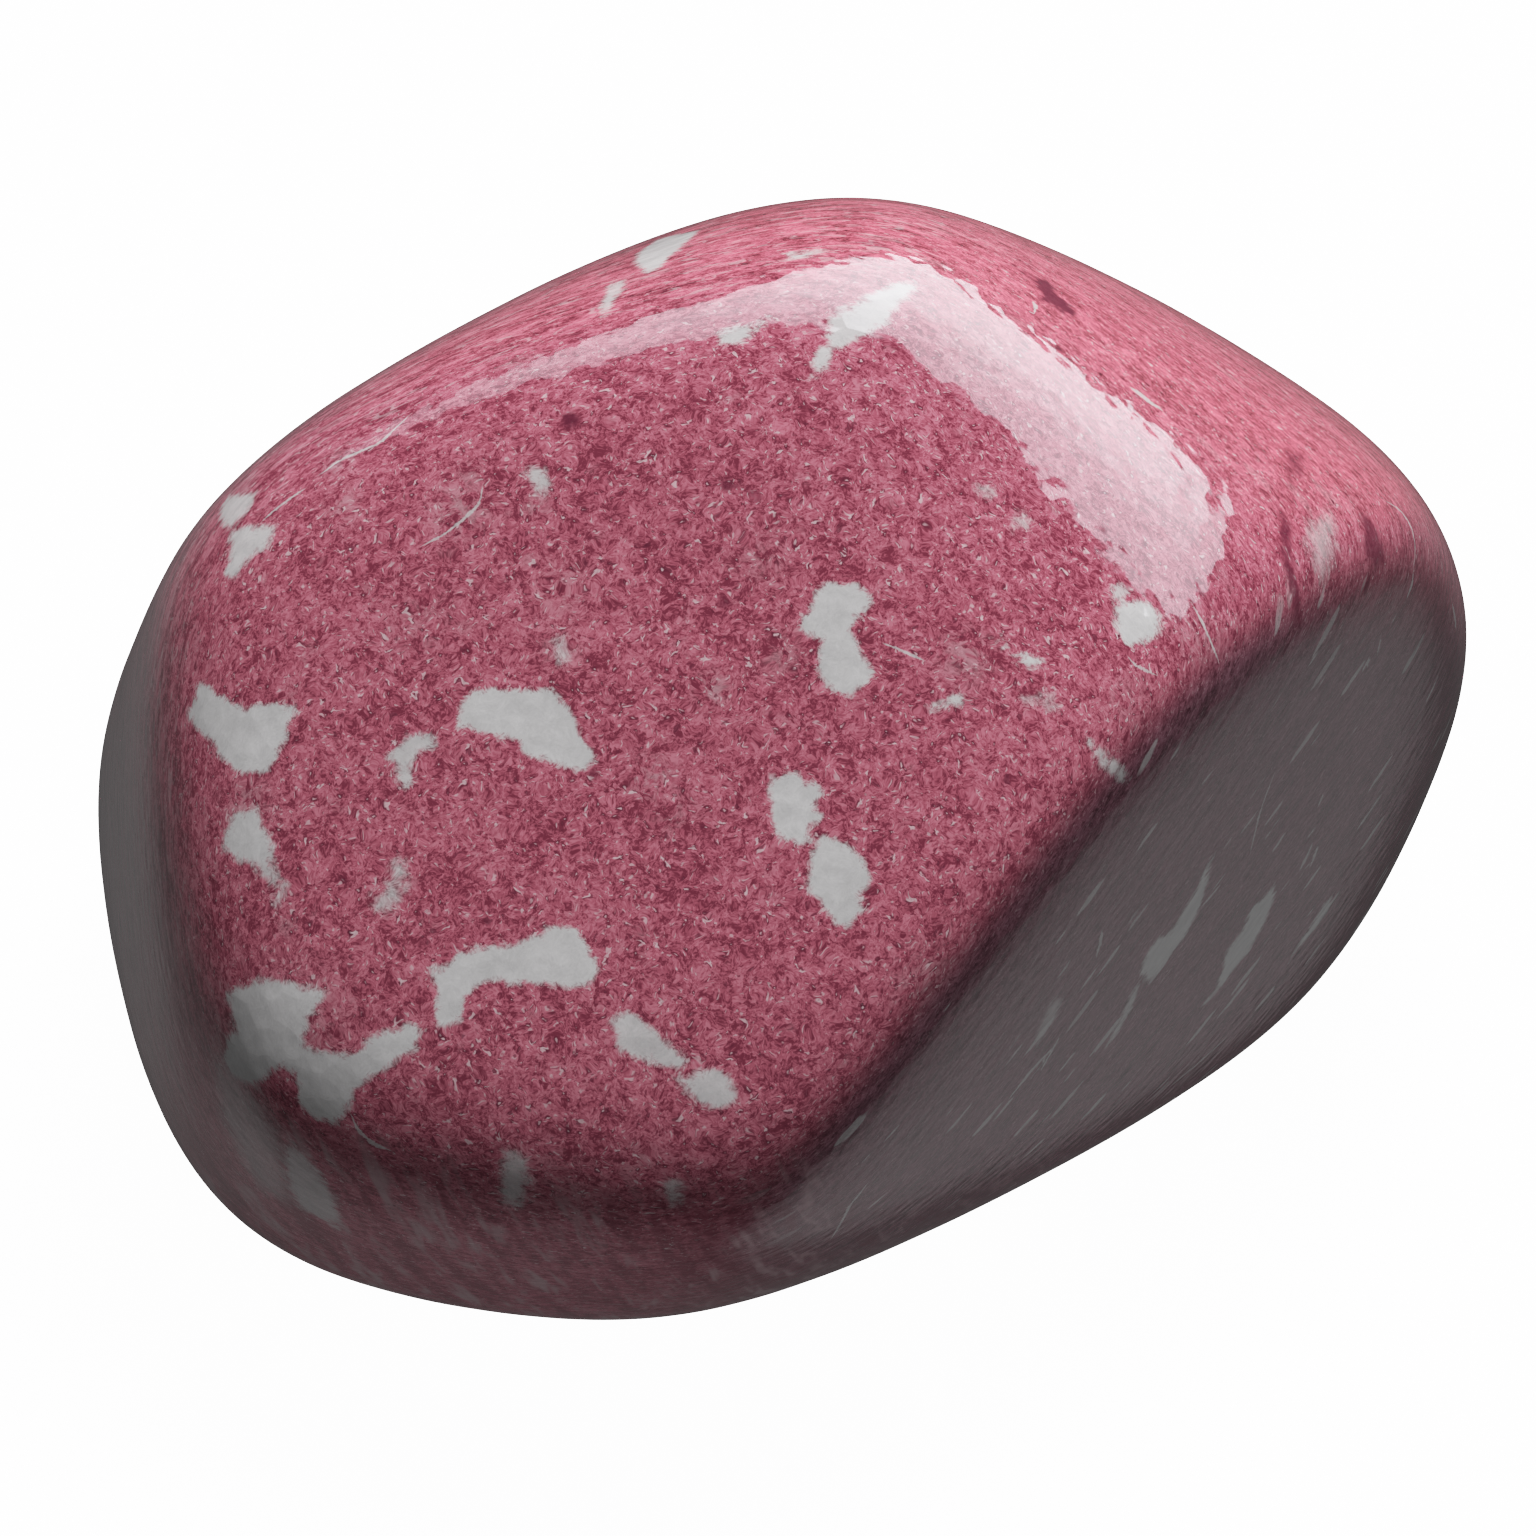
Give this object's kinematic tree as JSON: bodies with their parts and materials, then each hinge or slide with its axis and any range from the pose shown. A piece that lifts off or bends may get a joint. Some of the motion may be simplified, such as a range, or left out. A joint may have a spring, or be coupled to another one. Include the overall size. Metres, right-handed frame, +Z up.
{
  "type": "tumbled thulite stone",
  "caption": "Polished tumbled pebble of pink thulite with white patches, worn to nearly flat sides with rounded edges; rests on a small flat spot.",
  "frame": {"origin": "centre of the stone's box in X and Y, at the level of the flat spot that it rests on", "axes": "+X along the longest extent, to the right in the picture; +Y away from the camera; +Z up, out of the flat spot"},
  "size_m": [0.0354, 0.028, 0.0263],
  "materials": {
    "polished_thulite": "tumbled and polished, glossy"
  },
  "bodies": {
    "root": {"thulite_stone": "polished_thulite"}
  },
  "joints": []
}
